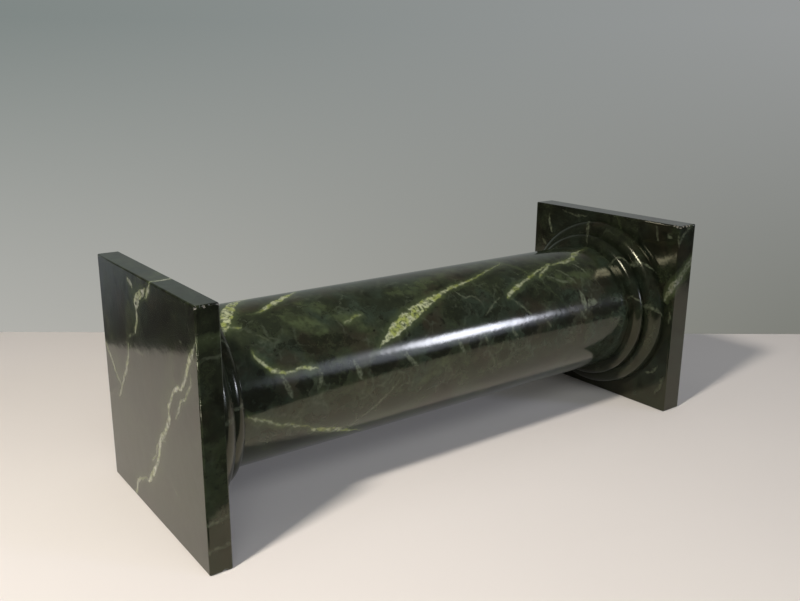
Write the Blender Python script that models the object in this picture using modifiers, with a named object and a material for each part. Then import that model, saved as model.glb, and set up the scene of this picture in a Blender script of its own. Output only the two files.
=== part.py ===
"""A faux marble column, lying on the edges of its two square slabs.

The column is turned and jointed as an upright one would be: a plinth, a base
moulding, a straight shaft, a top moulding and an abacus, stacked along local +Z.
One empty then lays the whole stack on its side, with the plinth towards world +X
and the lower edges of both slabs on the plane z = 0.

Metres, +Z up. The origin is on that plane, under the middle of the column.
"""

import math

import bmesh
import bpy

# The two square slabs
SLAB_SIDE = 0.200
PLINTH_THICKNESS = 0.025
ABACUS_THICKNESS = 0.018
ARRIS_RADIUS = 0.0012
ARRIS_LARGEST_SHARE = 0.45  # of the board's thickness

# The shaft is a plain cylinder, with no taper
SHAFT_DIAMETER = 0.133
SHAFT_LENGTH = 0.443

# Each moulding has two beads: a large one against the slab, a small one by the shaft.
# A crest height is measured from the face that the bead rises from.
LARGE_BEAD_DIAMETER = 0.182
LARGE_BEAD_ROUNDING = 0.0108
LARGE_BEAD_CREST_HEIGHT = 0.0040
SMALL_BEAD_DIAMETER = 0.156
SMALL_BEAD_ROUNDING = 0.0072
SMALL_BEAD_CREST_HEIGHT = 0.0052

# Neighbouring pieces are glued face to face, and the glue line is this wide
JOINT_GAP = 0.0003

# Fineness of the rounded surfaces
TURNED_STEPS = 72
BEAD_STEPS = 10
ARRIS_STEPS = 3
SHARP_CORNER = math.radians(35)
MERGE_DISTANCE = 0.00002

FAUX_MARBLE = {
    "plinth": (0.012, 0.015, 0.011),
    "base_moulding": (0.015, 0.019, 0.013),
    "shaft": (0.028, 0.038, 0.018),
    "top_moulding": (0.015, 0.019, 0.013),
    "abacus": (0.014, 0.017, 0.012),
}
VARNISH_ROUGHNESS = 0.12


def clear_scene():
    for obj in list(bpy.data.objects):
        bpy.data.objects.remove(obj, do_unlink=True)


def painted_material(name):
    """Dark green paint under a gloss varnish, in this piece's mean colour."""
    material = bpy.data.materials.new(name + "_faux_marble")
    material.use_nodes = True
    shader = material.node_tree.nodes["Principled BSDF"]
    shader.inputs["Base Color"].default_value = (*FAUX_MARBLE[name], 1.0)
    shader.inputs["Roughness"].default_value = VARNISH_ROUGHNESS
    shader.inputs["Metallic"].default_value = 0.0
    return material


def place(obj, name, collection, stack, height):
    """Names a piece and stands it at this height up the column."""
    obj.name = name
    obj.data.name = name
    for other in list(obj.users_collection):
        other.objects.unlink(obj)
    collection.objects.link(obj)
    obj.parent = stack
    obj.location = (0.0, 0.0, height)
    obj.data.materials.append(painted_material(name))
    return obj


def shade_round(mesh):
    """Smooth shading, with the real corners kept sharp."""
    mesh.shade_smooth()
    mesh.set_sharp_from_angle(angle=SHARP_CORNER)


def make_slab(thickness):
    """A square board with its lower face at local z = 0 and softly rounded arrises."""
    bpy.ops.mesh.primitive_cube_add(size=1.0)
    slab = bpy.context.active_object
    for vertex in slab.data.vertices:
        vertex.co.x *= SLAB_SIDE
        vertex.co.y *= SLAB_SIDE
        vertex.co.z = (vertex.co.z + 0.5) * thickness
    arris = slab.modifiers.new("arris", "BEVEL")
    arris.width = min(ARRIS_RADIUS, ARRIS_LARGEST_SHARE * thickness)
    arris.segments = ARRIS_STEPS
    arris.limit_method = "NONE"
    return slab


def make_shaft():
    """The plain cylinder, with its lower end at local z = 0."""
    bpy.ops.mesh.primitive_cylinder_add(
        vertices=TURNED_STEPS,
        radius=SHAFT_DIAMETER / 2,
        depth=SHAFT_LENGTH,
        location=(0.0, 0.0, 0.0),
    )
    shaft = bpy.context.active_object
    for vertex in shaft.data.vertices:
        vertex.co.z += SHAFT_LENGTH / 2
    shade_round(shaft.data)
    return shaft


def bead(diameter, rounding, crest_height, foot):
    """Profile points (radius, height) of a rounded bead, from its foot over its crest.

    The arc is cut short at the foot where the crest is lower than the rounding.
    """
    centre = (diameter / 2 - rounding, foot + crest_height)
    start = -math.asin(min(1.0, crest_height / rounding))
    end = math.pi / 2
    points = [(centre[0] + rounding * math.cos(start), foot)]
    for i in range(BEAD_STEPS + 1):
        angle = start + (end - start) * i / BEAD_STEPS
        points.append(
            (centre[0] + rounding * math.cos(angle), centre[1] + rounding * math.sin(angle))
        )
    return points


def moulding_profile():
    """The outer line of one moulding, from the slab's face up to the shaft's end."""
    large = bead(LARGE_BEAD_DIAMETER, LARGE_BEAD_ROUNDING, LARGE_BEAD_CREST_HEIGHT, 0.0)
    flat = large[-1][1]
    small = bead(SMALL_BEAD_DIAMETER, SMALL_BEAD_ROUNDING, SMALL_BEAD_CREST_HEIGHT, flat)
    return large + small


MOULDING_HEIGHT = moulding_profile()[-1][1]


def make_moulding():
    """A turned disc with its slab face at local z = 0 and its shaft face above."""
    line = [(0.0, MOULDING_HEIGHT)] + moulding_profile()[::-1] + [(0.0, 0.0)]
    outline = bpy.data.meshes.new("moulding_outline")
    builder = bmesh.new()
    vertices = [builder.verts.new((radius, 0.0, height)) for radius, height in line]
    for a, b in zip(vertices, vertices[1:]):
        builder.edges.new((a, b))
    bmesh.ops.remove_doubles(builder, verts=builder.verts, dist=MERGE_DISTANCE)
    builder.to_mesh(outline)
    builder.free()

    moulding = bpy.data.objects.new("moulding", outline)
    bpy.context.scene.collection.objects.link(moulding)
    turn = moulding.modifiers.new("turn", "SCREW")
    turn.axis = "Z"
    turn.angle = math.tau
    turn.steps = TURNED_STEPS
    turn.render_steps = TURNED_STEPS
    turn.use_merge_vertices = True
    turn.merge_threshold = MERGE_DISTANCE

    turned = moulding.evaluated_get(bpy.context.evaluated_depsgraph_get())
    solid = bpy.data.meshes.new_from_object(turned)
    moulding.modifiers.remove(turn)
    moulding.data = solid
    bpy.data.meshes.remove(outline)
    shade_round(solid)
    return moulding


def build():
    clear_scene()
    collection = bpy.data.collections.new("faux_marble_column")
    bpy.context.scene.collection.children.link(collection)

    base_height = PLINTH_THICKNESS + JOINT_GAP
    shaft_height = base_height + MOULDING_HEIGHT + JOINT_GAP
    top_height = shaft_height + SHAFT_LENGTH + JOINT_GAP
    abacus_height = top_height + MOULDING_HEIGHT + JOINT_GAP
    column_height = abacus_height + ABACUS_THICKNESS

    stack = bpy.data.objects.new("column_foot", None)
    collection.objects.link(stack)
    stack.location = (column_height / 2, 0.0, SLAB_SIDE / 2)
    stack.rotation_euler = (0.0, math.radians(-90), 0.0)

    place(make_slab(PLINTH_THICKNESS), "plinth", collection, stack, 0.0)
    place(make_moulding(), "base_moulding", collection, stack, base_height)
    place(make_shaft(), "shaft", collection, stack, shaft_height)
    top = place(
        make_moulding(), "top_moulding", collection, stack, top_height + MOULDING_HEIGHT
    )
    top.rotation_euler = (math.pi, 0.0, 0.0)
    place(make_slab(ABACUS_THICKNESS), "abacus", collection, stack, abacus_height)


build()
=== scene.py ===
# %% [markdown]
# # A faux marble column
#
# The object is a short wooden column, lying on its side: a square slab at either end, a
# turned moulding inside each slab, and a plain cylinder between them. A painter made it
# look like dark green marble and then varnished it to a mirror gloss. Its construction is
# already done, so this script only dresses it: fine smooth meshes, the painted stone, the
# varnish, and a soft studio around it. All sizes are in metres, in the construction's frame.

# %% The frame that the construction gives
import functools
import math
import random

import bmesh
import bpy
from mathutils import Matrix, Vector


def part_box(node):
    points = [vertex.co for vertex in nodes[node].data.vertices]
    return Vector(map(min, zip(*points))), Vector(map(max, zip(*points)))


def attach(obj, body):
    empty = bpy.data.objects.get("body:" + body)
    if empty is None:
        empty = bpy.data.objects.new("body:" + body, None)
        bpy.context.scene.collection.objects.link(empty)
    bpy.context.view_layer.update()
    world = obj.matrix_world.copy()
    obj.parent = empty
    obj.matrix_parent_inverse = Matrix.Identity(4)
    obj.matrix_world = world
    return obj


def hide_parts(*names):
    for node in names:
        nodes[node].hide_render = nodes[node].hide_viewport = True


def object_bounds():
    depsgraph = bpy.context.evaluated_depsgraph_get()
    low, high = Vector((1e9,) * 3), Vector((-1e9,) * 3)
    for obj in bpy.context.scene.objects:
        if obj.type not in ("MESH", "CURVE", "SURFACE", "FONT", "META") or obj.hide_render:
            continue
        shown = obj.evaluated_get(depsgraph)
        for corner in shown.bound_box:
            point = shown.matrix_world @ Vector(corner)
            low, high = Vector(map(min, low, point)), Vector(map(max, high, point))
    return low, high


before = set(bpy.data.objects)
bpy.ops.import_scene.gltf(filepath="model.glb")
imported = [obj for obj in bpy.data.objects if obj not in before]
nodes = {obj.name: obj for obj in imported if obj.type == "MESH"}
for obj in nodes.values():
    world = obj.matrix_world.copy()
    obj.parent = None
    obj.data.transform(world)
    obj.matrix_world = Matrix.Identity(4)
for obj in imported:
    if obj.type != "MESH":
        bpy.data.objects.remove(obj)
cad_low, cad_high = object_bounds()
print("construction:", sorted(nodes), "from", tuple(cad_low), "to", tuple(cad_high))

# %% [markdown]
# ## The camera
#
# The camera looks down a little from the front left. Its place, its two angles, its slight
# roll and its focal length were found by matching the corners of both slabs, so the outline
# of the column falls where it should. The direction is built from the angles, because two
# angles and a roll are easier to read than a matrix.

# %% Camera
IMAGE_WIDTH = 800
SENSOR_WIDTH = 36.0
FOCAL_LENGTH_PIXELS = 838.3
CAMERA_PLACE = Vector((-0.4753, -0.6002, 0.3475))
CAMERA_YAW = math.radians(36.566)
CAMERA_PITCH = math.radians(15.233)
CAMERA_ROLL = math.radians(0.381)


def camera_turn(yaw, pitch, roll):
    """The rotation of a camera that looks along +Y, turned right, tipped down and rolled."""
    forward = Vector((math.sin(yaw), math.cos(yaw), 0.0))
    level = Vector((math.cos(yaw), -math.sin(yaw), 0.0))
    ahead = forward * math.cos(pitch) - Vector((0.0, 0.0, math.sin(pitch)))
    above = level.cross(ahead)
    across = level * math.cos(roll) + above * math.sin(roll)
    upward = above * math.cos(roll) - level * math.sin(roll)
    return Matrix((across, upward, -ahead)).transposed()


camera = bpy.data.objects.new("camera", bpy.data.cameras.new("camera"))
bpy.context.scene.collection.objects.link(camera)
camera.data.sensor_width = SENSOR_WIDTH
camera.data.lens = FOCAL_LENGTH_PIXELS / IMAGE_WIDTH * SENSOR_WIDTH
turn = camera_turn(CAMERA_YAW, CAMERA_PITCH, CAMERA_ROLL)
camera.matrix_world = Matrix.Translation(CAMERA_PLACE) @ turn.to_4x4()
bpy.context.scene.camera = camera
print("camera lens:", round(camera.data.lens, 2), "mm")

# %% [markdown]
# ## Writing shader maths as expressions
#
# Painted stone is mostly arithmetic on masks: one minus this, times that. Written as nodes
# and links, such sums are hard to read. So one small class holds an output socket and
# overloads the operators, and each operator adds a Math node. A second class holds a
# material and has one method for every other kind of node.

# %% A wire that does arithmetic
class Wire:
    """An output socket of one finish. Arithmetic on it adds Math nodes."""

    def __init__(self, finish, socket):
        self.finish = finish
        self.socket = socket

    def math(self, operation, *others):
        sockets = dict(enumerate((self, *others)))
        return self.finish.node("Math", {"operation": operation}, sockets)

    def vector(self, operation, *others, output="Vector"):
        sockets = dict(enumerate((self, *others)))
        return self.finish.node("VectorMath", {"operation": operation}, sockets, output)

    def __add__(self, other):
        return self.math("ADD", other)

    def __sub__(self, other):
        return self.math("SUBTRACT", other)

    def __rsub__(self, other):
        return self.finish.node("Math", {"operation": "SUBTRACT"}, {0: other, 1: self})

    def __mul__(self, other):
        return self.math("MULTIPLY", other)

    __radd__ = __add__
    __rmul__ = __mul__

    def step(self, low, high, rise="SMOOTHSTEP"):
        """0 where the value is under low, 1 where it is over high, and rising between."""
        sockets = {"Value": self, "From Min": low, "From Max": high}
        return self.finish.node("MapRange", {"interpolation_type": rise}, sockets)


# %% A material under construction
class Finish:
    """A material or a world whose nodes are added by one method."""

    def __init__(self, owner, shader="Principled BSDF"):
        self.owner = owner
        self.tree = owner.node_tree
        self.shader = self.tree.nodes[shader]

    def plug(self, socket, value):
        if isinstance(value, Wire):
            self.tree.links.new(value.socket, socket)
        else:
            socket.default_value = value

    def node(self, kind, settings=None, sockets=None, output=0):
        made = self.tree.nodes.new("ShaderNode" + kind)
        for name, value in (settings or {}).items():
            if name == "points":
                self.bend(made.mapping, value)
            else:
                setattr(made, name, value)
        for name, value in (sockets or {}).items():
            self.plug(made.inputs[name], value)
        return Wire(self, made.outputs[output])

    def bend(self, mapping, points):
        """Runs a curve node's smooth line through these (x, y) points."""
        mapping.use_clip = False
        line = mapping.curves[0]
        while len(line.points) < len(points):
            line.points.new(0.5, 0.5)
        for made, place in zip(line.points, points):
            made.location = place
        mapping.update()

    def mix(self, share, first, second):
        """A colour that goes from the first to the second as share goes from 0 to 1."""
        sockets = {0: share, 6: first, 7: second}
        return self.node("Mix", {"data_type": "RGBA"}, sockets, output=2)

    def noise(self, spot, size, detail=2.0, roughness=0.5, output=0):
        """Cloudy noise whose lumps are about size across, in the unit of the spot."""
        sockets = {"Vector": spot, "Scale": 1 / size, "Detail": detail, "Roughness": roughness}
        return self.node("TexNoise", {}, sockets, output)

    def cell_edges(self, spot, size):
        """The distance to the nearest wall between cells, as a share of their size."""
        sockets = {"Vector": spot, "Scale": 1 / size}
        return self.node("TexVoronoi", {"feature": "DISTANCE_TO_EDGE"}, sockets)


# %% [markdown]
# ## The studio
#
# A near-black gloss shows little but reflections, so what stands around it matters as much
# as its paint. Four things are reflected: a pale table top, which ends a little in front of
# the column, a grey wall behind, a dark room in front, and a bright window low in that room.
# The table top is a rectangle that runs along the wall. Around it, and a hair lower, lies a
# wide floor of the same colour, which only the camera sees, so that the column stands on a
# plain pale floor from every side while its varnish still reflects the dark room.

# %% A new material
def new_finish(name):
    material = bpy.data.materials.new(name)
    material.use_nodes = True
    return Finish(material)


# %% Table top and floor
WALL_FOOT = Vector((-0.218, 0.577))
WALL_ANGLE = math.atan2(-0.607, 0.841)
TABLE_DEPTH = 0.62
TABLE_LEFT = -0.07
TABLE_LENGTH = 1.43
FLOOR_REACH = 7.0
FLOOR_DROP = 0.001
PALE = (0.80, 0.765, 0.715, 1.0)
PALE_CLOUDINESS = 0.94
PALE_ROUGHNESS = 0.9


def pale_finish():
    """A matt pale laminate with the faintest cloudiness."""
    finish = new_finish("pale_floor")
    spot = finish.node("TexCoord", output="Object")
    cloud = finish.noise(spot, size=0.35, detail=3.0)
    cloudy = (*(PALE_CLOUDINESS * c for c in PALE[:3]), 1.0)
    finish.plug(finish.shader.inputs["Base Color"], finish.mix(cloud, cloudy, PALE))
    finish.shader.inputs["Roughness"].default_value = PALE_ROUGHNESS
    finish.shader.inputs["Specular IOR Level"].default_value = 0.0
    return finish.owner


def lay_rectangle(name, left, length, depth, height, material):
    """A flat rectangle whose back edge runs along the foot of the wall."""
    along = Vector((math.cos(WALL_ANGLE), math.sin(WALL_ANGLE)))
    forward = Vector((along.y, -along.x))
    corners = [(left, 0), (left + length, 0), (left + length, depth), (left, depth)]
    flat = [WALL_FOOT + along * a + forward * b for a, b in corners]
    mesh = bpy.data.meshes.new(name)
    mesh.from_pydata([(p.x, p.y, height) for p in flat], [], [(3, 2, 1, 0)])
    sheet = bpy.data.objects.new(name, mesh)
    bpy.context.scene.collection.objects.link(sheet)
    mesh.materials.append(material)
    return sheet


pale = pale_finish()
lay_rectangle("table_top", TABLE_LEFT, TABLE_LENGTH, TABLE_DEPTH, 0.0, pale)
floor = lay_rectangle("floor", -FLOOR_REACH, 2 * FLOOR_REACH, FLOOR_REACH, -FLOOR_DROP, pale)
floor.visible_glossy = False
floor.visible_diffuse = False
print("table top:", TABLE_LENGTH, "by", TABLE_DEPTH, "m, floor:", 2 * FLOOR_REACH, "m wide")

# %% [markdown]
# The wall is only a grey light from that side, so it never stands between the camera and
# the back of the column. The world's colour goes by direction: towards the wall it blends
# four greys, one for each corner of what the camera sees of it, and towards the room and
# overhead it is dark. A bright window glows low in that room. It is soft at its edges, and
# it draws the long streak on the shaft. Only the varnish sees the dark room. A camera that
# looks that way sees a plain pale backdrop instead, so the column shows well from all sides.
# A direction is an angle clockwise from +Y, seen from above, and a rise, both in degrees.
# An edge is the two values, of a cosine or a height, between which one colour fades in.

# %% World
WALL_LEFT, WALL_MIDDLE, WALL_RIGHT = 11, 44, 62
WALL_LOW, WALL_HIGH = -17, 3
WALL_EDGE = (0.42, 0.74)
CEILING_EDGE = (0.35, 0.75)
LOW_GREYS = [(0.455, 0.450, 0.420, 1.0), (0.200, 0.204, 0.180, 1.0)]
HIGH_GREYS = [(0.215, 0.243, 0.235, 1.0), (0.305, 0.315, 0.315, 1.0)]
ROOM_DARK = (0.060, 0.057, 0.052, 1.0)
DISTANT_WAY = (-13, -8)
DISTANT_EDGE = (0.985, 0.998)
DISTANT_BLUE = (0.26, 0.29, 0.33, 1.0)
BACKDROP = (0.42, 0.42, 0.40, 1.0)
WINDOW_WAY = (139.5, 14.0)
GLOW_WAY = (144.0, 12.0)
WINDOW_CORE, WINDOW_GLOW = 6.1, 12.0
WINDOW_CORE_LIGHT = (23.0, 24.6, 36.0, 1.0)
WINDOW_GLOW_LIGHT = (1.5, 1.7, 2.6, 1.0)


def heading(degrees, rise):
    """A direction by its angle clockwise from +Y, seen from above, and its rise."""
    angle, tilt = math.radians(degrees), math.radians(rise)
    level = Vector((math.sin(angle), math.cos(angle), 0.0))
    return level * math.cos(tilt) + Vector((0.0, 0.0, math.sin(tilt)))


def sines(*degrees):
    return [math.sin(math.radians(angle)) for angle in degrees]


def room_light():
    """A world that is grey towards the wall and dark towards the room and above."""
    world = bpy.data.worlds.new("room")
    bpy.context.scene.world = world
    world.use_nodes = True
    finish = Finish(world, "Background")
    towards = finish.node("TexCoord", output="Generated")

    def facing(degrees, rise=0):
        return towards.vector("DOT_PRODUCT", heading(degrees, rise), output="Value")

    height = facing(0, 90)
    wall_ends = sines(WALL_LEFT - WALL_MIDDLE, WALL_RIGHT - WALL_MIDDLE)
    rightward = facing(WALL_MIDDLE + 90).step(*wall_ends, "LINEAR")
    upward = height.step(*sines(WALL_LOW, WALL_HIGH), "LINEAR")
    low_grey, high_grey = (finish.mix(rightward, *greys) for greys in (LOW_GREYS, HIGH_GREYS))
    wall = finish.mix(upward, low_grey, high_grey)
    seen = facing(WALL_MIDDLE).step(*WALL_EDGE) * (1 - height.step(*CEILING_EDGE))
    colour = finish.mix(facing(*DISTANT_WAY).step(*DISTANT_EDGE), ROOM_DARK, DISTANT_BLUE)
    for way, wide, light in (
        (GLOW_WAY, WINDOW_GLOW, WINDOW_GLOW_LIGHT),
        (WINDOW_WAY, WINDOW_CORE, WINDOW_CORE_LIGHT),
    ):
        near = facing(*way).step(math.cos(math.radians(wide)), 1.0)
        colour = finish.mix(near, colour, light)
    straight = finish.node("LightPath", output="Is Camera Ray")
    colour = finish.mix(straight, colour, BACKDROP)
    finish.plug(finish.shader.inputs["Color"], finish.mix(seen, colour, wall))
    return len(finish.tree.nodes)


print("room light:", room_light(), "nodes")

# %% [markdown]
# The lamp is small and high at the left, and throws the crisp shadows. Its wider glowing
# shade is what the varnish mirrors, as the white spots on the beads. Two large soft
# lights, one overhead and one in front, fill them. The varnish doesn't mirror those two,
# because it shows a dark room and a dark ceiling.

# %% Lamp and soft lights
LAMP_PLACE = Vector((-0.937, -0.32, 1.10))
LAMP_SIZE = (0.13, 0.13)
LAMP_POWER = 16.5
LAMP_COLOUR = (1.0, 0.92, 0.85)
SHADE_SIZE = (0.24, 0.24)
SHADE_POWER = 11.0
SHADE_COLOUR = (1.0, 0.98, 0.96)
SOFT_SIZE = (2.6, 1.6)
SOFT_COLOUR = (0.93, 0.96, 1.0)
# Each soft light's direction from the column's middle, its distance and its power
SOFT_LIGHTS = {"overhead": ((0, 80), 2.4, 5.0), "front": ((195, 33), 2.5, 24.0)}


def panel_light(name, size, power, colour, place, target):
    """A rectangular light at one place, facing another."""
    data = bpy.data.lights.new(name, "AREA")
    data.shape = "RECTANGLE"
    data.size, data.size_y = size
    data.energy = power
    data.color = colour
    light = bpy.data.objects.new(name, data)
    bpy.context.scene.collection.objects.link(light)
    light.location = place
    light.rotation_euler = (target - place).to_track_quat("-Z", "Y").to_euler()
    return light


axis_height = (cad_low.z + cad_high.z) / 2
middle = Vector((0.0, 0.0, axis_height))
lamp = panel_light("lamp", LAMP_SIZE, LAMP_POWER, LAMP_COLOUR, LAMP_PLACE, middle)
lamp.visible_glossy = False
shade = panel_light("lampshade", SHADE_SIZE, SHADE_POWER, SHADE_COLOUR, LAMP_PLACE, middle)
shade.visible_diffuse = False
for name, (way, distance, power) in SOFT_LIGHTS.items():
    place = middle + distance * heading(*way)
    soft = panel_light(name, SOFT_SIZE, power, SOFT_COLOUR, place, middle)
    soft.visible_glossy = False
bpy.context.scene.view_settings.view_transform = "Standard"
print("lamp:", LAMP_POWER, "W, and", len(SOFT_LIGHTS), "soft lights")

# %% [markdown]
# ## The turned pieces
#
# The shaft and the mouldings come off a lathe, so each is one profile turned about the
# axis. The construction's own meshes have flat facets, and a mirror gloss shows every
# facet, so each is turned again here on the same profile with much finer steps.

# %% Turning a profile
TURNED_STEPS = 240
SHARP_CORNER = math.radians(35)


def put(name, mesh):
    """Adds a mesh to the scene as an object."""
    piece = bpy.data.objects.new(name, mesh)
    bpy.context.scene.collection.objects.link(piece)
    return piece


def turned(name, profile):
    """A closed solid: the profile's (x, radius) points, swept round the column's axis."""
    builder = bmesh.new()
    rings = []
    for x, radius in profile:
        ring = []
        for i in range(TURNED_STEPS):
            angle = math.tau * i / TURNED_STEPS
            y, z = radius * math.sin(angle), axis_height + radius * math.cos(angle)
            ring.append(builder.verts.new((x, y, z)))
        rings.append(ring)
    for first, second in zip(rings, rings[1:]):
        for i in range(TURNED_STEPS):
            j = (i + 1) % TURNED_STEPS
            builder.faces.new((first[i], first[j], second[j], second[i]))
    builder.faces.new(rings[0][::-1])
    builder.faces.new(rings[-1])
    bmesh.ops.recalc_face_normals(builder, faces=builder.faces)
    mesh = bpy.data.meshes.new(name)
    builder.to_mesh(mesh)
    builder.free()
    mesh.shade_smooth()
    mesh.set_sharp_from_angle(angle=SHARP_CORNER)
    return put(name, mesh)


# %% Shaft
shaft_low, shaft_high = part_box("shaft")
shaft_radius = (shaft_high.z - shaft_low.z) / 2
SHAFT_RINGS = 40


def shaft_profile():
    """A straight line in even steps, so that the long facets stay short."""
    step = (shaft_high.x - shaft_low.x) / SHAFT_RINGS
    return [(shaft_low.x + step * i, shaft_radius) for i in range(SHAFT_RINGS + 1)]


shaft = turned("painted_shaft", shaft_profile())
print("shaft:", round(2 * shaft_radius, 4), "m across,", len(shaft.data.polygons), "faces")

# %% [markdown]
# Each moulding is a large bead against the slab and a small bead by the shaft, both cut
# from one disc. A bead is an arc: it starts low on the disc's face below, passes its crest
# and ends level, where the next shape begins.

# %% Mouldings
LARGE_BEAD_ROUNDING = 0.0108
LARGE_BEAD_CREST = 0.0040
SMALL_BEAD_DIAMETER = 0.156
SMALL_BEAD_ROUNDING = 0.0072
SMALL_BEAD_CREST = 0.0052
BEAD_STEPS = 28


def bead(diameter, rounding, crest, foot):
    """(height, radius) points of a bead that stands on a face at the height of its foot."""
    start = -math.asin(min(1.0, crest / rounding))
    arc = []
    for i in range(BEAD_STEPS + 1):
        angle = start + (math.pi / 2 - start) * i / BEAD_STEPS
        height = foot + crest + rounding * math.sin(angle)
        arc.append((height, diameter / 2 - rounding * (1 - math.cos(angle))))
    return [(foot, arc[0][1])] + arc if arc[0][0] > foot else arc


def moulding(name, node, slab_side):
    """One moulding in the place of its node. slab_side is +1 if its slab is towards +X."""
    low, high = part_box(node)
    large = bead(high.z - low.z, LARGE_BEAD_ROUNDING, LARGE_BEAD_CREST, 0.0)
    small = bead(SMALL_BEAD_DIAMETER, SMALL_BEAD_ROUNDING, SMALL_BEAD_CREST, large[-1][0])
    foot = high.x if slab_side > 0 else low.x
    profile = [(foot - slab_side * height, radius) for height, radius in large + small]
    return turned(name, profile)


base_moulding = moulding("painted_base_moulding", "base_moulding", +1)
top_moulding = moulding("painted_top_moulding", "top_moulding", -1)
print("mouldings:", len(base_moulding.data.polygons), "faces each")

# %% [markdown]
# ## The slabs
#
# Each slab is a sawn board with slightly rounded arrises. Its faces stay flat-shaded, so
# that the large mirrors are true, and only the narrow arrises are smooth.

# %% Boards
ARRIS_RADIUS = 0.0012
ARRIS_STEPS = 4
SQUARE_ON = 0.999  # the least share of a large flat face's normal along one axis


def board(name, node):
    """A board in the place of its node, with rounded arrises."""
    low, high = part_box(node)
    builder = bmesh.new()
    bmesh.ops.create_cube(builder, size=1.0)
    for vertex in builder.verts:
        vertex.co = (low + high) / 2 + Vector(vertex.co[i] * (high - low)[i] for i in range(3))
    bmesh.ops.bevel(
        builder, geom=builder.edges[:], offset=ARRIS_RADIUS, segments=ARRIS_STEPS,
        profile=0.5, affect="EDGES", clamp_overlap=True,
    )
    wide = (2 * ARRIS_RADIUS) ** 2
    for face in builder.faces:
        face.smooth = face.calc_area() < wide or max(map(abs, face.normal)) < SQUARE_ON
    mesh = bpy.data.meshes.new(name)
    builder.to_mesh(mesh)
    builder.free()
    return put(name, mesh)


plinth = board("painted_plinth", "plinth")
abacus = board("painted_abacus", "abacus")
print("boards:", len(plinth.data.polygons), "faces each")

# %% [markdown]
# ## The painted marble
#
# Dark green marble is painted in layers. A nearly black ground comes first, then thin
# green clouds dabbed over it, some warm brown stains, dark blots and a fine web of
# grey-green lines, and last the veins, in yellow-green and cream, with a fine brush. It
# could be painted as a flat picture and wrapped round each piece. The functions below
# paint the same layers with noises and curves instead, which stay sharp close up and cover
# every side without a seam. Every length in them is in millimetres, because veins are only
# a few millimetres wide.

# %% Layers that cover every piece
GROUND = (0.0140, 0.0182, 0.0108)
CLOUD = (0.040, 0.051, 0.025)
BLUE_CLOUD = (0.028, 0.041, 0.027)
BROWN = (0.029, 0.0215, 0.0145)
DARK = (0.0055, 0.0065, 0.0042)
WEB = (0.078, 0.094, 0.062)
LEAF_GREEN = (0.062, 0.082, 0.036)
FAINT = (0.135, 0.155, 0.100)
PAINT = (0.26, 0.30, 0.085)
CREAM = (0.38, 0.41, 0.25)
WHITE = (0.50, 0.51, 0.42)
MILLIMETRES = 1000.0  # in a metre
CLOUD_EVENNESS = 0.35  # of the clouds, the share that the dabs leave even
STAIN_STRENGTH = 0.5
BLOT_STRENGTH = 0.7
STAINS_FROM = (310.0, 40.0, 90.0)  # so that stains and blots don't follow the clouds
BLOTS_FROM = (90.0, 0.0, 40.0)


def tone(colour, strength=1.0):
    """A colour with its alpha, made lighter or darker."""
    return (*(strength * c for c in colour), 1.0)


def shaken(finish, spot, size, reach):
    """A push of up to reach, from noise with lumps of this size."""
    push = finish.noise(spot, size, output="Color").vector("SUBTRACT", (0.5, 0.5, 0.5))
    return push.vector("MULTIPLY", (2 * reach,) * 3)


def marble_ground(finish, spot, strength, webbing):
    """The dark ground with clouds, stains, blots and a web of lines. strength lightens it."""
    drift = spot.vector("ADD", shaken(finish, spot, size=20, reach=6))
    clouds = finish.noise(drift, size=22, detail=6.0, roughness=0.62).step(0.34, 0.66)
    dabs = finish.noise(drift, size=4.5, detail=3.0, roughness=0.65).step(0.28, 0.72)
    side = finish.noise(spot, size=45).step(0.42, 0.58)
    tint = finish.mix(side, tone(CLOUD, strength), tone(BLUE_CLOUD, strength))
    dabbed = CLOUD_EVENNESS + (1 - CLOUD_EVENNESS) * dabs
    colour = finish.mix(clouds * dabbed, tone(GROUND, strength), tint)
    elsewhere = spot.vector("ADD", STAINS_FROM)
    stains = finish.noise(elsewhere, size=34, detail=4.0).step(0.50, 0.66)
    colour = finish.mix(stains * STAIN_STRENGTH, colour, tone(BROWN, strength))
    elsewhere = drift.vector("ADD", BLOTS_FROM)
    blots = finish.noise(elsewhere, size=13, detail=3.0).step(0.54, 0.70)
    colour = finish.mix(blots * BLOT_STRENGTH, colour, tone(DARK, strength))
    rough = spot.vector("ADD", shaken(finish, spot, size=10, reach=5))
    web = 1 - finish.cell_edges(rough, size=17).step(0.0, 0.10)
    patches = finish.noise(spot, size=26).step(0.46, 0.60)
    return finish.mix(web * patches * dabs * webbing, colour, tone(WEB, strength))


# %% [markdown]
# A vein is a soft line that wanders across the surface. It is given by a few points, each
# with its own half width, and a half width under zero is where the vein has died away. The
# shader turns a spot into its way along the straight line from the first point to the last
# and its way aside from it. One curve node holds how far aside the vein lies, a second how
# wide it is. Shaking the spot first makes the edges as ragged as a brush does. Five kinds
# of vein lie over each other: broad green smudges, dark patches, faint lines, bright
# lines, and lace, which is a broad bright vein with small dark cells left open in it.

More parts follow.
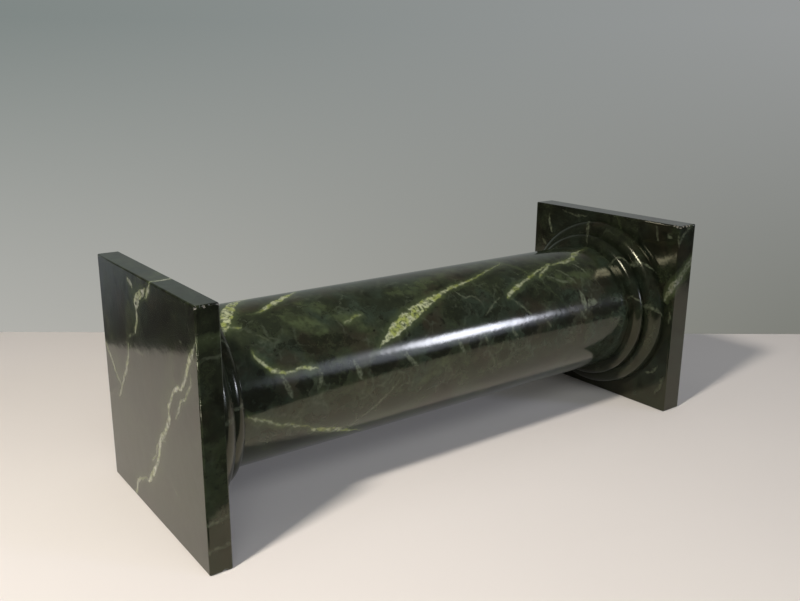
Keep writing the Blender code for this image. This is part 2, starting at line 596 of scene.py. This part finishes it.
# %% The depth inside a vein
def depth_in_vein(finish, flat, points):
    """The distance to a vein through (a, b, half width) points, less its half width."""
    spots = [Vector((a, b, 0.0)) for a, b, wide in points]
    run = spots[-1] - spots[0]
    ahead = run.normalized()
    left = Vector((-ahead.y, ahead.x, 0.0))
    shares = [(spot - spots[0]).dot(ahead) / run.length for spot in spots]
    wander = [(share, (spot - spots[0]).dot(left)) for share, spot in zip(shares, spots)]
    widths = [(share, wide) for share, (a, b, wide) in zip(shares, points)]
    start = flat.vector("SUBTRACT", spots[0])
    share = start.vector("DOT_PRODUCT", ahead / run.length, output="Value")
    aside = start.vector("DOT_PRODUCT", left, output="Value")
    centre = finish.node("FloatCurve", {"points": wander}, {"Value": share})
    width = finish.node("FloatCurve", {"points": widths}, {"Value": share})
    return (aside - centre).math("ABSOLUTE") - width


def depths_in_veins(finish, flat, veins):
    """The strength of each (strength, points) vein, with the depth in it."""
    return [(strength, depth_in_vein(finish, flat, points)) for strength, points in veins]


def joined(operation, wires):
    """One wire from several, such as the greatest of them."""
    return functools.reduce(lambda first, second: first.math(operation, second), wires)


def covered(depths, softness):
    """How much of the spot the veins cover."""
    bodies = [(1 - depth.step(-softness, softness)) * strength for strength, depth in depths]
    return joined("MAXIMUM", bodies)


def beside(depths, reach):
    """1 in and against a vein, fading to 0 at this distance from the nearest one."""
    return 1 - joined("MINIMUM", [depth for strength, depth in depths]).step(0.0, reach)


# %% Painting the veins
BROAD_EDGE = [(12, 4), (3.5, 1.6)]
RAGGED_EDGE = [(9, 2.6), (2.4, 1.3)]
TORN_HOLES = [(5, 2.5)]
HOLE_STRENGTH = 0.9
# Of each kind: how soft its edge is, and the share that stays where the brush skips
SOFTNESS = {"smudges": 4.5, "dark": 2.2, "faint": 1.2, "lines": 1.2, "lace": 0.8}
UNBROKEN = {"dark": 0.55, "faint": 0.15, "lines": 0.30, "lace": 0.30}
# How far the green glow beside a bright vein reaches, and how strong it is
GLOW = {"lines": (6.0, 0.45), "lace": (7.0, 0.5)}


def pushed(finish, place, spot, edge):
    """The place pushed about by noise of each (size, reach)."""
    for size, reach in edge:
        place = place.vector("ADD", shaken(finish, spot, size, reach))
    return place


def lace_holes(finish, spot):
    """1 in the middle of each small dark cell that lace leaves open, 0 outside it."""
    torn = pushed(finish, spot, spot, TORN_HOLES)
    holes = finish.cell_edges(torn, size=6.5).step(0.14, 0.30)
    return holes * finish.noise(spot, size=9).step(0.40, 0.50)


def paint_veins(finish, colour, flat, spot, veins, bright=(PAINT, CREAM)):
    """Paints the lists of veins, by their kind, over a colour. bright is two vein colours."""
    on_paper = (1.0, 1.0, 0.0)
    broad = pushed(finish, flat, spot, BROAD_EDGE).vector("MULTIPLY", on_paper)
    ragged = pushed(finish, flat, spot, RAGGED_EDGE).vector("MULTIPLY", on_paper)
    breaks = finish.noise(spot, size=3.2, detail=4.0, roughness=0.7).step(0.38, 0.58)
    patchy = finish.noise(spot, size=9).step(0.42, 0.60)
    paint = finish.mix(patchy, tone(bright[0]), tone(bright[1]))

    def brushed(kind, depths):
        """How much of the spot this kind of vein covers, with the brush's skips."""
        kept = UNBROKEN[kind]
        return covered(depths, SOFTNESS[kind]) * (kept + (1 - kept) * breaks)

    if "smudges" in veins:
        depths = depths_in_veins(finish, broad, veins["smudges"])
        share = covered(depths, SOFTNESS["smudges"]) * (0.15 + 0.55 * patchy + 0.15 * breaks)
        colour = finish.mix(share, colour, tone(LEAF_GREEN))
    for kind, flat_spot, shade in (("dark", broad, DARK), ("faint", ragged, FAINT)):
        if kind in veins:
            depths = depths_in_veins(finish, flat_spot, veins[kind])
            colour = finish.mix(brushed(kind, depths), colour, tone(shade))
    for kind in ("lines", "lace"):
        if kind in veins:
            depths = depths_in_veins(finish, ragged, veins[kind])
            reach, strength = GLOW[kind]
            colour = finish.mix(beside(depths, reach) * strength, colour, tone(LEAF_GREEN))
            share = brushed(kind, depths)
            if kind == "lace":
                share = share * (1 - HOLE_STRENGTH * lace_holes(finish, spot))
            colour = finish.mix(share, colour, paint)
    return colour


# %% [markdown]
# The varnish is the glossy layer of the shader itself. It lies in a slightly uneven film,
# so its reflections waver very gently, and it has yellowed, so they are a little warm.

# %% Varnish
VARNISH_GLOSS = 0.085
VARNISH_INDEX = 1.55
VARNISH_TINT = (1.0, 0.955, 0.70, 1.0)
VARNISH_DULLNESS = 0.05
VARNISH_WAVER = 0.10
WAVER_DEPTH = 0.001
FINE_WAVER = 0.12


def varnish(finish, colour, spot, gloss=VARNISH_GLOSS):
    """Connects the paint's colour and the gloss over it."""
    film = finish.noise(spot, size=14) + FINE_WAVER * finish.noise(spot, size=2.5)
    sockets = {"Strength": VARNISH_WAVER, "Distance": WAVER_DEPTH, "Height": film}
    bump = finish.node("Bump", {}, sockets)
    dull = finish.noise(spot, size=18, detail=3.0)
    finish.plug(finish.shader.inputs["Base Color"], colour)
    finish.plug(finish.shader.inputs["Roughness"], gloss + VARNISH_DULLNESS * dull)
    finish.plug(finish.shader.inputs["Normal"], bump)
    finish.shader.inputs["IOR"].default_value = VARNISH_INDEX
    finish.shader.inputs["Specular Tint"].default_value = VARNISH_TINT
    return finish.owner


# %% Unrolling a surface
def spot_in_millimetres(finish):
    """The place on the object, from the middle of the column's axis."""
    place = finish.node("TexCoord", output="Object").vector("SUBTRACT", middle)
    return place.vector("MULTIPLY", (MILLIMETRES,) * 3)


def parts_of(finish, spot):
    """The three coordinates of a spot, as numbers."""
    split = finish.node("SeparateXYZ", {}, {0: spot}).socket.node
    return [Wire(finish, socket) for socket in split.outputs]


def unrolled(finish, spot, radius):
    """(along the column, round it from its top towards the front), as on unrolled paper."""
    x, y, z = parts_of(finish, spot)
    return finish.node("CombineXYZ", {}, {0: x, 1: (-1 * y).math("ARCTAN2", z) * radius})


def face_on(finish, spot, face, lean):
    """(across, up) on a slab's face. Inside the slab a vein climbs by lean for each step."""
    x, y, z = parts_of(finish, spot)
    return finish.node("CombineXYZ", {}, {0: y, 1: z - lean * (x - face)})


# %% [markdown]
# ## The shaft's veins
#
# On the shaft, a point is given by its place along the column and by its way round it, from
# the top line towards the front, both in millimetres. A row of dark cells, with pale threads
# between them, runs along the front, just under the bright streak. Near the far end, two pale
# patches among the faint veins are a painted reflection of a second, dimmer window.

# %% Shaft paint
SHAFT_VEINS = {
    "smudges": [
        (0.8, [(-172, 28, -3), (-150, 46, 7), (-136, 54, -3)]),
        (0.7, [(-152, 14, -3), (-128, 34, 7), (-110, 52, 5), (-96, 62, -3)]),
        (0.6, [(-66, 24, -3), (-34, 24, 8), (6, 12, 7), (34, 2, -3)]),
        (0.7, [(118, 36, -3), (142, 49, 7), (170, 50, 7), (188, 42, -3)]),
        (0.6, [(-150, 152, -3), (-104, 146, 6), (-70, 138, 5), (-40, 130, -3)]),
        (0.6, [(-60, 118, -3), (-40, 106, 5), (-24, 96, -3)]),
    ],
    "dark": [
        (0.9, [
            (-228, 93, 4), (-206, 94, 10), (-186, 92, -7), (-170, 92, 8), (-156, 92, -7),
            (-139, 90, 10), (-121, 91, -7), (-95, 90, 8), (-67, 90, -6), (-35, 90, 7),
            (-9, 90, -6), (5, 91, 8), (19, 90, -6), (36, 90, 7), (54, 89, -6), (76, 89, 7),
            (99, 89, -6), (124, 89, 7), (150, 88, -6), (174, 88, 7), (216, 87, -6),
        ]),
        (0.65, [(-184, 60, -2), (-166, 60, 6), (-146, 62, 8), (-120, 66, 3), (-108, 68, -2)]),
        (0.45, [(-22, 62, -2), (-6, 60, 7), (14, 60, 6), (28, 63, -2)]),
        (0.45, [(64, 60, -2), (78, 59, 7), (96, 60, 7), (112, 62, -2)]),
        (0.6, [(184, 60, -2), (198, 57, 8), (212, 58, 9), (226, 60, 4)]),
        (0.6, [(-206, 140, -2), (-182, 140, 6), (-158, 148, -2)]),
        (0.6, [(10, 128, -2), (50, 132, 7), (96, 128, 6), (130, 120, -2)]),
    ],
    "faint": [
        (0.55, [(18, 84, -1), (20, 89, 1.6), (23, 95, -1)]),
        (0.55, [(97, 83, -1), (99, 88, 1.8), (103, 95, -1)]),
        (0.5, [(147, 82, -1), (149, 88, 1.8), (153, 95, -1)]),
        (0.7, [(-190, 79, -1), (-186, 88, 1.6), (-181, 100, -1)]),
        (0.7, [(-155, 81, -1), (-156, 90, 1.6), (-160, 99, -1)]),
        (0.7, [(-122, 81, -1), (-120, 90, 1.7), (-115, 99, -1)]),
        (0.7, [(-72, 84, -1), (-66, 92, 2.0), (-59, 99, -1)]),
        (0.6, [(-13, 84, -1), (-10, 90, 2.0), (-6, 98, -1)]),
        (0.55, [(53, 83, -1), (55, 89, 1.9), (59, 97, -1)]),
        (0.5, [(-128, 149, -1), (-108, 132, 1.0), (-90, 118, 1.0), (-78, 103, -1)]),
        (0.6, [(3, 37, -1), (10, 46, 0.8), (22, 50, 0.8), (26, 64, -1)]),
        (0.7, [(24, 69, -1), (36, 62, 0.7), (50, 54, -1)]),
        (0.6, [(60, 55, -1), (68, 63, 1.0), (78, 75, 0.9), (86, 79, -1)]),
        # Painted reflection: these two pale patches stand for a second, dimmer window mirrored
        # in the varnish
        (0.9, [(153, 63, -2), (154, 74, 2.6), (154, 86, -2)]),
        (0.8, [(157, 84, -2), (165, 78, 3.4), (173, 82, -2)]),
        (0.5, [(118, 38, -1), (128, 46, 1.2), (140, 52, 1.6), (152, 50, -1)]),
        (0.5, [(138, 36, -1), (147, 44, 1.0), (152, 58, -1)]),
        (0.6, [(164, 30, -1), (171, 38, 0.8), (174, 50, -1)]),
        (0.5, [(90, -165, -1), (140, -175, 0.9), (210, -148, -1)]),
    ],
    "lines": [
        (0.9, [
            (-190, 22, -1), (-172, 14.5, 1.8), (-157, 6, 2.6), (-146, -1, 1.6),
            (-130, -16, -1),
        ]),
        (0.8, [
            (-26, 43, -1), (-5, 36.5, 1.1), (13, 32.5, 1.4), (31, 28.5, 0.8),
            (58, 20, 0.6), (88, 6, -1),
        ]),
        (0.8, [
            (57, 57, -1), (68, 51, 2.0), (91, 42, 1.1), (108, 35.5, 1.0),
            (140, 26.5, -0.5),
        ]),
        (0.6, [
            (130, 29, -0.5), (152, 27, 1.2), (172, 24.5, 2.6), (181, 18, 2.6),
            (196, 13, 0.9), (218, 6, -1),
        ]),
        (0.7, [(110, 42, -1), (128, 32, 1.4), (140, 26, -1)]),
        (0.9, [
            (-208, 58, -1), (-200, 70, 1.7), (-193, 76, 1.5), (-182, 79, 0.9),
            (-169, 79, 1.1), (-156, 82, -1),
        ]),
        (0.6, [
            (-222, 103, -1), (-207, 113, 1.0), (-195, 119, 1.0), (-175, 126, 0.6),
            (-156, 136, -0.5),
        ]),
        (0.7, [
            (55, -195, -1), (95, -160, 1.2), (120, -118, 2.0), (170, -90, 1.0),
            (218, -46, -1),
        ]),
        (0.6, [(-219, 26, -1), (-210, 34, 0.9), (-204, 32, -1)]),
        (0.4, [(-121, 50, -1), (-112, 47, 0.9), (-98, 44, -1)]),
    ],
    "lace": [
        (1.0, [
            (-228, 46, -1), (-219, 32, 2.6), (-207, 12, 4.5), (-198, 0, 3.5),
            (-184, -12, 2.5), (-164, -30, -1),
        ]),
        (1.0, [
            (-98, 77, -1), (-82, 68, 3.4), (-64, 59, 5.6), (-46, 51, 5.0), (-28, 44, 3.8),
            (-10, 38, -1),
        ]),
        (0.8, [
            (-164, 133, -1), (-145, 141, 2.2), (-129, 148, 2.0), (-110, 158, 0.9),
            (-88, 172, -1),
        ]),
        (0.8, [
            (-214, -156, -1), (-180, -120, 3.0), (-142, -95, 4.0), (-122, -66, 2.0),
            (-132, -40, -1),
        ]),
        (0.9, [
            (-66, -202, -1), (-30, -150, 3.5), (5, -120, 5.0), (40, -85, 3.5),
            (60, -40, 1.5), (86, 6, -1),
        ]),
    ],
}


def shaft_finish():
    finish = new_finish("shaft_faux_marble")
    spot = spot_in_millimetres(finish)
    flat = unrolled(finish, spot, shaft_radius * MILLIMETRES)
    ground = marble_ground(finish, spot, strength=1.0, webbing=0.42)
    return varnish(finish, paint_veins(finish, ground, flat, spot, SHAFT_VEINS), spot)


shaft.data.materials.append(shaft_finish())
print("shaft veins:", {kind: len(veins) for kind, veins in SHAFT_VEINS.items()})

# %% [markdown]
# ## The abacus's veins
#
# On a slab, a point is given by its place across the slab, towards the back, and up it,
# from the axis, in millimetres. Marble is solid, so the veins run on through the thickness.

# %% Abacus paint
ABACUS_VEINS = {
    "smudges": [
        (0.5, [(-60, 60, -3), (-44, 30, 7), (-30, -10, 8), (-12, -50, 6), (10, -80, -3)]),
        (0.5, [(96, 50, -3), (70, 10, 8), (56, -30, 7), (50, -70, -3)]),
        (0.22, [(104, -30, 10), (50, -50, 34), (0, -52, 36), (-50, -40, 36), (-104, -30, 30)]),
        (0.6, [(-10, 98, -3), (12, 84, 9), (30, 62, 9), (36, 40, 5), (40, 24, -3)]),
    ],
    "dark": [
        (0.8, [(-60, 90, -2), (-40, 78, 9), (-20, 66, 8), (-4, 56, -2)]),
        (0.7, [(60, 92, -2), (66, 74, 8), (60, 60, -2)]),
        (0.7, [(-101, 96, 4), (-92, 88, 4), (-84, 76, -2)]),
    ],
    "faint": [
        (0.8, [(21, 52, -1), (30, 47, 1.0), (38, 46, -1)]),
        (0.8, [(44, 44, -1), (42, 38, 1.0), (35, 37, 1.0), (28, 40, -1)]),
        (0.6, [(30, 41, -1), (18, 36, 1.0), (5, 38, 0.8), (1, 42, -1)]),
        (0.5, [(70, -12, -1), (90, -21, 1.2), (99, -30, 1.6), (96, -42, -1)]),
        (0.6, [(-40, -55, -1), (-45, -57, 1.8), (-50, -59, -1)]),
        (0.7, [(-70, 70, -1), (-73, 68, 0.9), (-76, 67, -1)]),
        (0.35, [(-86, 71, -1), (-90, 69, 0.9), (-94, 69, -1)]),
        (0.3, [(-96, 61, -1), (-99, 61, 1.0), (-103, 61, -1)]),
        (0.35, [(-94, -60, -1), (-99, -60, 1.2), (-103, -60, -1)]),
        (0.3, [(-95, -81, -1), (-99, -81, 1.2), (-103, -81, -1)]),
        (0.35, [(-16, 95, -1), (-20, 99, 1.4), (-23, 104, -1)]),
    ],
    "lines": [
        (0.8, [
            (-101, 77, -1.6), (-93, 67, 0.8), (-84, 55, 2.0), (-72, 37, 1.3), (-63, 32, 1.8),
            (-46, 17, 1.0), (-42, 4, 2.2), (-30, -14, 1.6), (-21, -22, 2.3), (-10, -46, 1.6),
            (5, -63, 2.4), (18, -74, -0.5),
        ]),
        (0.5, [(-88, 50, -1), (-78, 30, 1.0), (-66, 22, 1.2), (-54, 4, -1)]),
        (0.45, [(-30, -24, -1), (-16, -28, 1.2), (-4, -44, 1.0), (4, -50, -1)]),
        (0.55, [(14, -70, -1), (30, -78, 1.2), (40, -83, 1.4), (45, -93, 1.9), (52, -101, -1)]),
        (0.8, [(-20, 101, -1), (-15, 92, 1.5), (-6, 85, -1)]),
        (0.55, [
            (38, 40, -1), (40, 30, 1.0), (45, 18, 1.6), (55, 6, 1.2), (63, -6, 1.0),
            (76, -20, -1),
        ]),
        (0.55, [(101, 26, -1), (92, 18, 1.2), (83, 10, 1.6), (75, 2, 1.4), (64, -6, -1)]),
        (0.5, [(30, 93, -1), (24, 91, 1.8), (18, 87, -1)]),
    ],
    "lace": [
        (0.9, [
            (-10, 93, -1), (4, 84, 3.5), (12, 78, 4.0), (14, 71, 2.2), (17, 56, 1.5),
            (22, 50, -1),
        ]),
    ],
}


def slab_finish(name, shift, face, lean, strength, webbing, veins):
    """A slab's marble. shift moves the ground's pattern, so that no two slabs match."""
    finish = new_finish(name)
    spot = spot_in_millimetres(finish)
    ground = marble_ground(finish, spot.vector("ADD", shift), strength, webbing)
    flat = face_on(finish, spot, face, lean)
    colour = paint_veins(finish, ground, flat, spot, veins, bright=(CREAM, WHITE))
    return varnish(finish, colour, spot)


abacus.data.materials.append(slab_finish(
    "abacus_faux_marble", (40.0, 0.0, 0.0), face=cad_low.x * MILLIMETRES, lean=0.15,
    strength=0.6, webbing=0.25, veins=ABACUS_VEINS,
))
print("abacus veins:", {kind: len(veins) for kind, veins in ABACUS_VEINS.items()})

# %% [markdown]
# ## The plinth's veins
#
# Of the plinth, the inner face, the near edge and the top edge show. A pale vein comes
# round the near arris and climbs as it crosses the board's thickness, so its veins lean far
# more than the abacus's do. Their points lie on the inner face.

# %% Plinth paint
PLINTH_VEINS = {
    "dark": [
        (0.7, [(-50, 96, -2), (-62, 84, 8), (-74, 70, 6), (-80, 58, -2)]),
        (0.7, [(-74, 10, -2), (-84, -10, 8), (-88, -34, 6), (-90, -50, -2)]),
    ],
    "faint": [
        (0.6, [(-70, 96, -1), (-73, 88, 0.9), (-75, 80, -1)]),
        (0.6, [(-84, 91, -1), (-87, 88, 1.4), (-91, 85, -1)]),
        (0.45, [(-98, 92, -1), (-100, 84, 1.0), (-103, 76, -1)]),
        (0.5, [(-95, 10, -1), (-97, 4, 0.8), (-96, -4, -1)]),
        (0.8, [(77, 90, -1), (77, 78, 1.8), (72, 67, -1)]),
        (0.5, [(89, 59, -1), (85, 55, 1.6), (81, 52, -1)]),
        (0.5, [(22, 79, -1), (16, 82, 1.4), (8, 84, 0.6), (-12, 88, -1)]),
        (0.4, [(-72, -62, -1), (-80, -60, 1.4), (-88, -50, -1)]),
        (0.35, [(-86, -84, -1), (-92, -74, 1.2), (-96, -60, -1)]),
        (0.45, [(60, 98, -1), (40, 93, 0.8), (20, 96, -1)]),
    ],
    "lines": [
        (0.5, [(64, -96, -1), (30, -60, 2.0), (20, -20, 3.5), (-10, 20, 2.5), (-32, 76, -1)]),
    ],
    "lace": [
        (0.28, [
            (-107, 54, -1), (-101, 43, 2.0), (-96, 35, 3.2), (-92, 27, 2.4), (-88, 19, -1),
        ]),
    ],
}
INNER_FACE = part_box("plinth")[0].x * MILLIMETRES
plinth.data.materials.append(slab_finish(
    "plinth_faux_marble", (0.0, 70.0, 20.0), face=INNER_FACE, lean=0.9,
    strength=0.50, webbing=0.22, veins=PLINTH_VEINS,
))
print("plinth veins:", {kind: len(veins) for kind, veins in PLINTH_VEINS.items()})

# %% [markdown]
# ## The mouldings' veins
#
# A brush can't follow a vein well over beads, so the mouldings have only a few faint lines.
# They are placed as on the shaft, on paper rolled at the small bead's radius. The highlights
# on the beads are softer than the one on the shaft, so the varnish is a little less glossy.

# %% Moulding paint
MOULDING_GLOSS = 0.14
BASE_MOULDING_VEINS = {
    "faint": [
        (0.7, [(216, 46, -1), (226, 56, 1.0), (236, 70, 0.8), (248, 82, -1)]),
        (0.5, [(218, 92, -1), (230, 108, 1.2), (247, 120, -1)]),
        (0.5, [(218, 6, -1), (230, -6, 1.2), (247, -14, -1)]),
    ],
}
TOP_MOULDING_VEINS = {
    "faint": [
        (0.7, [(-254, 38, -1), (-238, 52, 1.0), (-222, 72, -1)]),
        (0.5, [(-254, 120, -1), (-238, 112, 1.2), (-220, 110, -1)]),
    ],
}


def moulding_finish(name, veins):
    finish = new_finish(name)
    spot = spot_in_millimetres(finish)
    flat = unrolled(finish, spot, SMALL_BEAD_DIAMETER / 2 * MILLIMETRES)
    ground = marble_ground(finish, spot, strength=0.55, webbing=0.30)
    colour = paint_veins(finish, ground, flat, spot, veins)
    return varnish(finish, colour, spot, MOULDING_GLOSS)


for piece, name, veins in (
    (base_moulding, "base_moulding_faux_marble", BASE_MOULDING_VEINS),
    (top_moulding, "top_moulding_faux_marble", TOP_MOULDING_VEINS),
):
    piece.data.materials.append(moulding_finish(name, veins))
    print(name, "with", len(piece.data.materials[0].node_tree.nodes), "nodes")

# %% [markdown]
# ## Chips
#
# Knocks have broken tiny chips from the arrises, down to the pale priming under the paint.
# Pale spots in the finish would lie flush with the gloss, so the chips are real hollows.
# Each is cut out with a small lump whose points are pushed in and out at random, with a
# fixed seed. The cut faces take the lump's material, so the priming shows only in the chip.

# %% Chips
CHIP_SEED = 11
CHIP_RAGGEDNESS = (0.72, 1.22)
PRIMING = (0.30, 0.29, 0.25, 1.0)
PRIMING_SHADE = (0.12, 0.115, 0.095, 1.0)
ABACUS_CHIPS = [
    (-0.2702, -0.0996, 0.1986, 0.0012), (-0.2645, -0.1000, 0.1992, 0.0009),
    (-0.2636, -0.1002, 0.1985, 0.0008), (-0.2548, -0.0998, 0.1990, 0.0008),
    (-0.2532, -0.0996, 0.1990, 0.0012), (-0.2590, -0.1001, 0.0006, 0.0020),
]
PLINTH_CHIPS = [
    (0.2461, -0.0925, 0.1994, 0.0012), (0.2460, -0.0962, 0.1990, 0.0014),
    (0.2463, -0.0996, 0.1985, 0.0013), (0.2505, -0.0999, 0.1994, 0.0013),
    (0.2560, -0.0999, 0.1993, 0.0014), (0.2604, -0.0999, 0.1994, 0.0012),
]


def priming_finish():
    """Chalky pale priming with a broken, grainy face."""
    finish = new_finish("pale_priming")
    grain = finish.noise(spot_in_millimetres(finish), size=0.8, detail=3.0)
    finish.plug(finish.shader.inputs["Base Color"], finish.mix(grain, PRIMING_SHADE, PRIMING))
    finish.plug(finish.shader.inputs["Roughness"], 0.7 + 0.2 * grain)
    return finish.owner


def chipped(piece, chips):
    """Cuts a lump at each (x, y, z, radius) out of a board. Returns the count of faces."""
    chance = random.Random(CHIP_SEED)
    builder = bmesh.new()
    for x, y, z, radius in chips:
        lump = bmesh.ops.create_icosphere(builder, subdivisions=2, radius=radius)["verts"]
        for vertex in lump:
            vertex.co = Vector((x, y, z)) + vertex.co * chance.uniform(*CHIP_RAGGEDNESS)
    mesh = bpy.data.meshes.new("chip_lumps")
    builder.to_mesh(mesh)
    builder.free()
    mesh.materials.append(priming)
    lumps = put("chip_lumps", mesh)
    cut = piece.modifiers.new("chips", "BOOLEAN")
    cut.operation, cut.solver, cut.material_mode = "DIFFERENCE", "EXACT", "TRANSFER"
    cut.use_self = True
    cut.object = lumps
    whole = piece.data
    cut_piece = piece.evaluated_get(bpy.context.evaluated_depsgraph_get())
    piece.data = bpy.data.meshes.new_from_object(cut_piece)
    piece.modifiers.remove(cut)
    bpy.data.objects.remove(lumps)
    bpy.data.meshes.remove(whole)
    return len(piece.data.polygons)


priming = priming_finish()
print("abacus:", chipped(abacus, ABACUS_CHIPS), "faces with", len(ABACUS_CHIPS), "chips")
print("plinth:", chipped(plinth, PLINTH_CHIPS), "faces with", len(PLINTH_CHIPS), "chips")

# %% [markdown]
# ## Handing the pieces over
#
# Each painted piece stands for the plain solid of the same name, which is hidden, and rides
# on the one body.

# %% Bodies
PAINTED = {
    "plinth": plinth,
    "base_moulding": base_moulding,
    "shaft": shaft,
    "top_moulding": top_moulding,
    "abacus": abacus,
}
for node, piece in PAINTED.items():
    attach(piece, "root")
    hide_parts(node)
